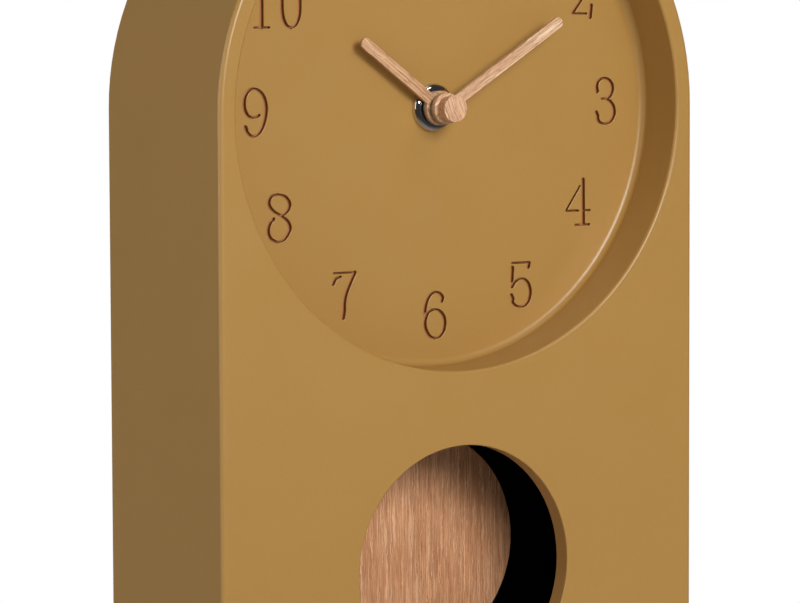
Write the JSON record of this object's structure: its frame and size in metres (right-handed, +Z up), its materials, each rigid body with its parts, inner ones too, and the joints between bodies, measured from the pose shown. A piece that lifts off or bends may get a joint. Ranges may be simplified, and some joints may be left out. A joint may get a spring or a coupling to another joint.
{
  "type": "desk pendulum clock",
  "caption": "Arched table clock with a sunk engraved dial, wooden hands and a wooden disc pendulum that swings behind a round window; battery movement reached from the back.",
  "frame": {"origin": "on the table under the middle of the case", "axes": "+Z up, +X to the right as the dial is read, +Y from the front into the case"},
  "size_m": [0.18, 0.072, 0.3],
  "materials": {
    "ochre_case": "matte soft lacquer",
    "black_plastic": "fine matte texture",
    "pad_rubber": "matte",
    "screw_steel": "blackened",
    "chrome": "polished",
    "white_plastic": "smooth moulded",
    "brass": "turned",
    "oak": "open grain, oiled",
    "aluminium": "turned",
    "steel": "bright",
    "copper_wire": "enamelled winding",
    "board": "solder resist",
    "cell_wrap": "plain printed sleeve"
  },
  "bodies": {
    "case": {"housing": "ochre_case", "base_pads": "pad_rubber", "back_cover": "black_plastic", "cover_screws": "screw_steel", "movement_case": "black_plastic", "movement_lid": "black_plastic", "sealing_washer": "pad_rubber", "dress_nut": "chrome", "battery": "cell_wrap", "battery_contacts": "steel", "stator": "steel", "drive_coil": "copper_wire", "circuit_board": "board", "pulse_coil": "copper_wire", "pivot_pin": "steel"},
    "minute": {"minute_arbor": "brass", "minute_collet": "aluminium", "minute_hand": "oak", "hand_cap": "oak"},
    "hour": {"hour_wheel": "white_plastic", "hour_collet": "aluminium", "hour_hand": "oak"},
    "setting": {"setting_wheel": "white_plastic", "setting_knob": "black_plastic"},
    "third": {"third_wheel": "white_plastic"},
    "pendulum": {"pendulum_arm": "white_plastic", "arm_magnet": "steel", "pendulum_rod": "aluminium", "pendulum_bob": "oak", "bob_clip": "aluminium"}
  },
  "joints": [
    {"name": "minute_turn", "type": "hinge", "parent": "case", "child": "minute", "pos_m": [0, 0, 0.21], "axis": [0, 1, 0], "continuous": true},
    {"name": "hour_turn", "type": "hinge", "parent": "case", "child": "hour", "pos_m": [0, 0, 0.21], "axis": [0, 1, 0], "continuous": true},
    {"name": "setting_turn", "type": "hinge", "parent": "case", "child": "setting", "pos_m": [0, 0, 0.198], "axis": [0, 1, 0], "continuous": true},
    {"name": "third_turn", "type": "hinge", "parent": "case", "child": "third", "pos_m": [-0.01088, 0, 0.20604], "axis": [0, 1, 0], "continuous": true},
    {"name": "pendulum_swing", "type": "hinge", "parent": "case", "child": "pendulum", "pos_m": [0, 0, 0.176], "axis": [0, 1, 0], "range_deg": [-5.55, 14.45]}
  ],
  "couplings": [
    {"joint": "hour_turn", "follows": "minute_turn", "ratio": 0.083333},
    {"joint": "setting_turn", "follows": "minute_turn", "ratio": -0.33333},
    {"joint": "third_turn", "follows": "minute_turn", "ratio": -7.5}
  ]
}
